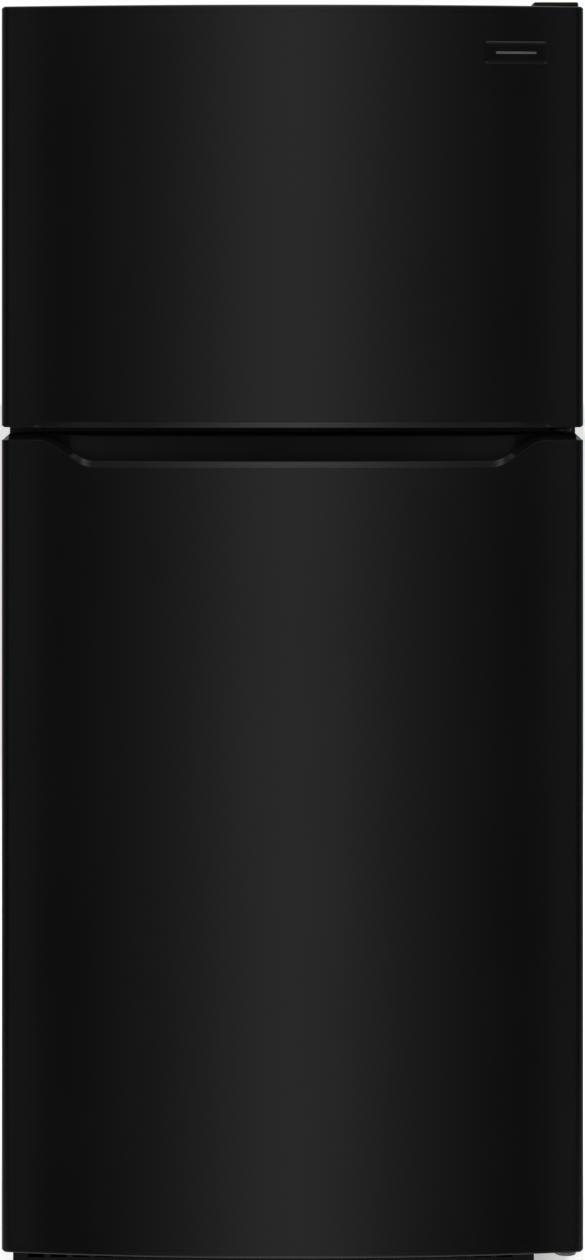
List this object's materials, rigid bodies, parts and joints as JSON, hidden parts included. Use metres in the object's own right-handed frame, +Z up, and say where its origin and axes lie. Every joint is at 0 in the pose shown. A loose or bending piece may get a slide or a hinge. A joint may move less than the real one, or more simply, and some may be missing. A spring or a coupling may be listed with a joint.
{
  "type": "top freezer refrigerator",
  "caption": "Black top freezer refrigerator with bowed doors, moulded finger pockets between them, hinged on the viewer's right, with shelves, bins and drawers inside.",
  "frame": {"origin": "on the floor, under the middle of the bounding box", "axes": "+Z up; +X towards the hinge side, the viewer's right when facing the doors; -Y out of the doors' front"},
  "size_m": [0.76, 0.765, 1.68],
  "materials": {
    "door_black": "gloss",
    "trim_black": "satin",
    "cabinet_black": "satin",
    "badge_black": "gloss",
    "liner_white": "satin",
    "gasket_black": "matte",
    "clear_plastic": "gloss",
    "shelf_glass": "gloss",
    "zinc_steel": "satin",
    "foam": "matte",
    "coil_metal": "satin",
    "coil_black": "matte",
    "machine_black": "satin",
    "fan_grey": "matte",
    "dark_rubber": "matte"
  },
  "bodies": {
    "cabinet": {"side_panel_left": "cabinet_black", "side_panel_right": "cabinet_black", "top_panel": "cabinet_black", "back_panel": "cabinet_black", "front_rail": "cabinet_black", "base_pan": "zinc_steel", "cabinet_foam": "foam", "freezer_liner": "liner_white", "fresh_food_liner": "liner_white", "mullion_rail": "cabinet_black", "toe_grille": "trim_black", "top_hinge": "zinc_steel", "top_hinge_cover": "trim_black", "center_hinge": "zinc_steel", "bottom_hinge": "zinc_steel", "freezer_shelf": "liner_white", "evaporator_cover": "liner_white", "evaporator_coil": "coil_metal", "shelf_frame_upper": "liner_white", "shelf_glass_upper": "shelf_glass", "shelf_frame_lower": "liner_white", "shelf_glass_lower": "shelf_glass", "crisper_cover": "shelf_glass", "control_housing": "liner_white", "compressor": "machine_black", "condenser_coil": "coil_black", "condenser_fan_motor": "machine_black", "drip_pan": "machine_black", "machine_cover": "cabinet_black", "cord_gland": "dark_rubber"},
    "freezer_door": {"freezer_door_skin": "door_black", "freezer_door_foam": "foam", "freezer_door_top_cap": "trim_black", "freezer_door_handle_cap": "trim_black", "freezer_door_liner": "liner_white", "freezer_door_gasket": "gasket_black", "freezer_door_rack_upper": "clear_plastic", "freezer_door_rack_lower": "clear_plastic", "badge_plate": "badge_black"},
    "fridge_door": {"fridge_door_skin": "door_black", "fridge_door_foam": "foam", "fridge_door_handle_cap": "trim_black", "fridge_door_bottom_cap": "trim_black", "fridge_door_liner": "liner_white", "fridge_door_gasket": "gasket_black", "dairy_bin": "clear_plastic", "door_bin_upper": "clear_plastic", "door_bin_middle": "clear_plastic", "door_bin_lower": "clear_plastic"},
    "dairy_lid": {"dairy_lid": "clear_plastic"},
    "crisper_drawer_left": {"crisper_drawer_left": "clear_plastic"},
    "crisper_drawer_right": {"crisper_drawer_right": "clear_plastic"},
    "temperature_knob": {"temperature_knob": "trim_black"},
    "light_switch": {"light_switch": "trim_black"},
    "leveling_leg_left": {"leveling_leg_left": "zinc_steel"},
    "leveling_leg_right": {"leveling_leg_right": "zinc_steel"},
    "rear_roller_left": {"rear_roller_left": "dark_rubber"},
    "rear_roller_right": {"rear_roller_right": "dark_rubber"},
    "evaporator_fan": {"evaporator_fan": "fan_grey"},
    "condenser_fan": {"condenser_fan": "fan_grey"}
  },
  "joints": [
    {"name": "freezer_door_hinge", "type": "hinge", "parent": "cabinet", "child": "freezer_door", "pos_m": [0.358, -0.329, 1.395], "axis": [0, 0, 1], "range_deg": [0, 130]},
    {"name": "fridge_door_hinge", "type": "hinge", "parent": "cabinet", "child": "fridge_door", "pos_m": [0.358, -0.329, 0.578], "axis": [0, 0, 1], "range_deg": [0, 130]},
    {"name": "dairy_lid_hinge", "type": "hinge", "parent": "fridge_door", "child": "dairy_lid", "pos_m": [-0.147, -0.3045, 0.948], "axis": [1, 0, 0], "range_deg": [0, 80]},
    {"name": "crisper_left_slide", "type": "slide", "parent": "cabinet", "child": "crisper_drawer_left", "axis": [0, -1, 0], "range_m": [0, 0.205]},
    {"name": "crisper_right_slide", "type": "slide", "parent": "cabinet", "child": "crisper_drawer_right", "axis": [0, -1, 0], "range_m": [0, 0.205]},
    {"name": "light_switch_slide", "type": "slide", "parent": "cabinet", "child": "light_switch", "axis": [0, -1, 0], "range_m": [0, 0.006]},
    {"name": "temperature_knob_turn", "type": "hinge", "parent": "cabinet", "child": "temperature_knob", "pos_m": [0, 0.0142, 1.062], "axis": [0, -1, 0], "range_deg": [-135, 135]},
    {"name": "leveling_leg_left_screw", "type": "hinge", "parent": "cabinet", "child": "leveling_leg_left", "pos_m": [-0.3, -0.24, 0.03], "axis": [0, 0, 1], "continuous": true},
    {"name": "leveling_leg_right_screw", "type": "hinge", "parent": "cabinet", "child": "leveling_leg_right", "pos_m": [0.3, -0.24, 0.03], "axis": [0, 0, 1], "continuous": true},
    {"name": "rear_roller_left_spin", "type": "hinge", "parent": "cabinet", "child": "rear_roller_left", "pos_m": [-0.314, 0.3, 0.02], "axis": [1, 0, 0], "continuous": true},
    {"name": "rear_roller_right_spin", "type": "hinge", "parent": "cabinet", "child": "rear_roller_right", "pos_m": [0.314, 0.3, 0.02], "axis": [1, 0, 0], "continuous": true},
    {"name": "evaporator_fan_spin", "type": "hinge", "parent": "cabinet", "child": "evaporator_fan", "pos_m": [0, 0.268, 1.515], "axis": [0, 1, 0], "continuous": true},
    {"name": "condenser_fan_spin", "type": "hinge", "parent": "cabinet", "child": "condenser_fan", "pos_m": [-0.024, 0.29, 0.135], "axis": [1, 0, 0], "continuous": true}
  ],
  "couplings": [
    {"joint": "crisper_left_slide", "follows": "fridge_door_hinge", "m_per_rad": 0.09},
    {"joint": "crisper_right_slide", "follows": "fridge_door_hinge", "m_per_rad": 0.09},
    {"joint": "light_switch_slide", "follows": "fridge_door_hinge", "m_per_rad": 0.0026}
  ]
}
